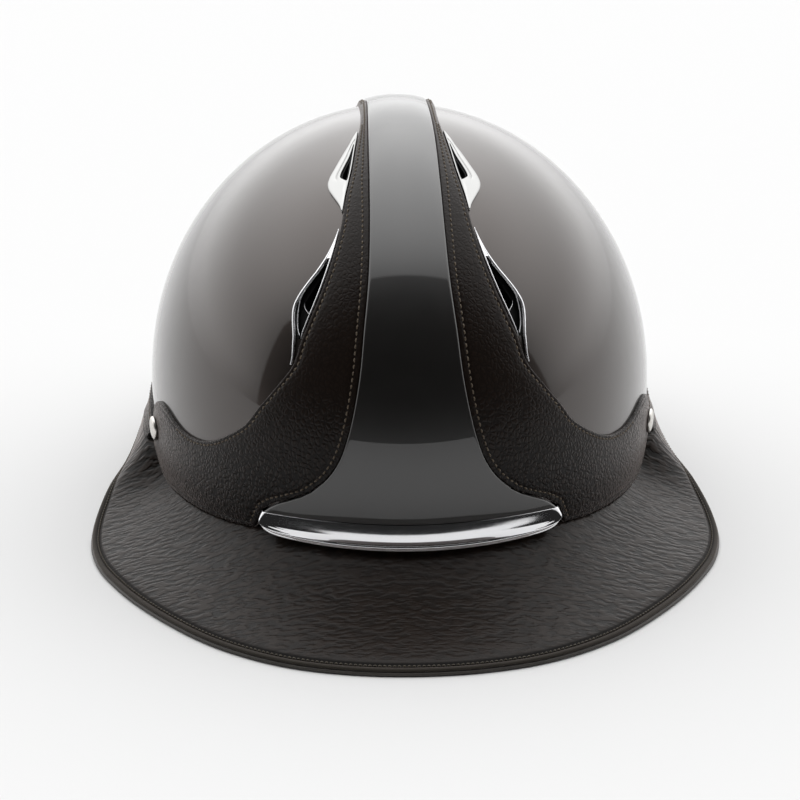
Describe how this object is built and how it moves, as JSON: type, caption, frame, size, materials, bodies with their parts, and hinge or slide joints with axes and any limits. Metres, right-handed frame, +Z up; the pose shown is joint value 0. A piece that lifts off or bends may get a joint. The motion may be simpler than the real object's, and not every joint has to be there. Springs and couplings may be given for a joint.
{
  "type": "riding helmet",
  "caption": "Lacquered riding helmet with leather panels, a broad leather brim, a wide centre stripe, metal trim and side vents.",
  "frame": {"origin": "middle of the footprint, on the surface that the helmet stands on", "axes": "+Z up, the brim reaches out along -Y, +X is the right-hand side as seen from the front; left and right in the names are as seen from the front"},
  "size_m": [0.2688, 0.3411, 0.1706],
  "materials": {
    "shell_lacquer": "high gloss taupe lacquer",
    "stripe_lacquer": "high gloss dark lacquer",
    "chrome": "polished plating",
    "panel_leather": "fine pebbled grain, semi-matte",
    "brim_leather": "drawn wrinkled grain, semi-matte",
    "brim_lining": "smooth matte leather",
    "vent_plastic": "moulded black",
    "stud_metal": "polished cap"
  },
  "bodies": {
    "root": {"shell": "shell_lacquer", "centre_stripe": "stripe_lacquer", "front_trim": "chrome", "brim_leather": "brim_leather", "brim_lining": "brim_lining", "front_leather_left": "panel_leather", "front_leather_right": "panel_leather", "rear_leather_left": "panel_leather", "rear_leather_right": "panel_leather", "vent_frame_upper_left": "chrome", "vent_frame_upper_right": "chrome", "vent_frame_lower_left": "chrome", "vent_frame_lower_right": "chrome", "vent_insert_upper_left": "vent_plastic", "vent_insert_upper_right": "vent_plastic", "vent_insert_lower_left": "vent_plastic", "vent_insert_lower_right": "vent_plastic", "stud_left": "stud_metal", "stud_right": "stud_metal"}
  },
  "joints": []
}
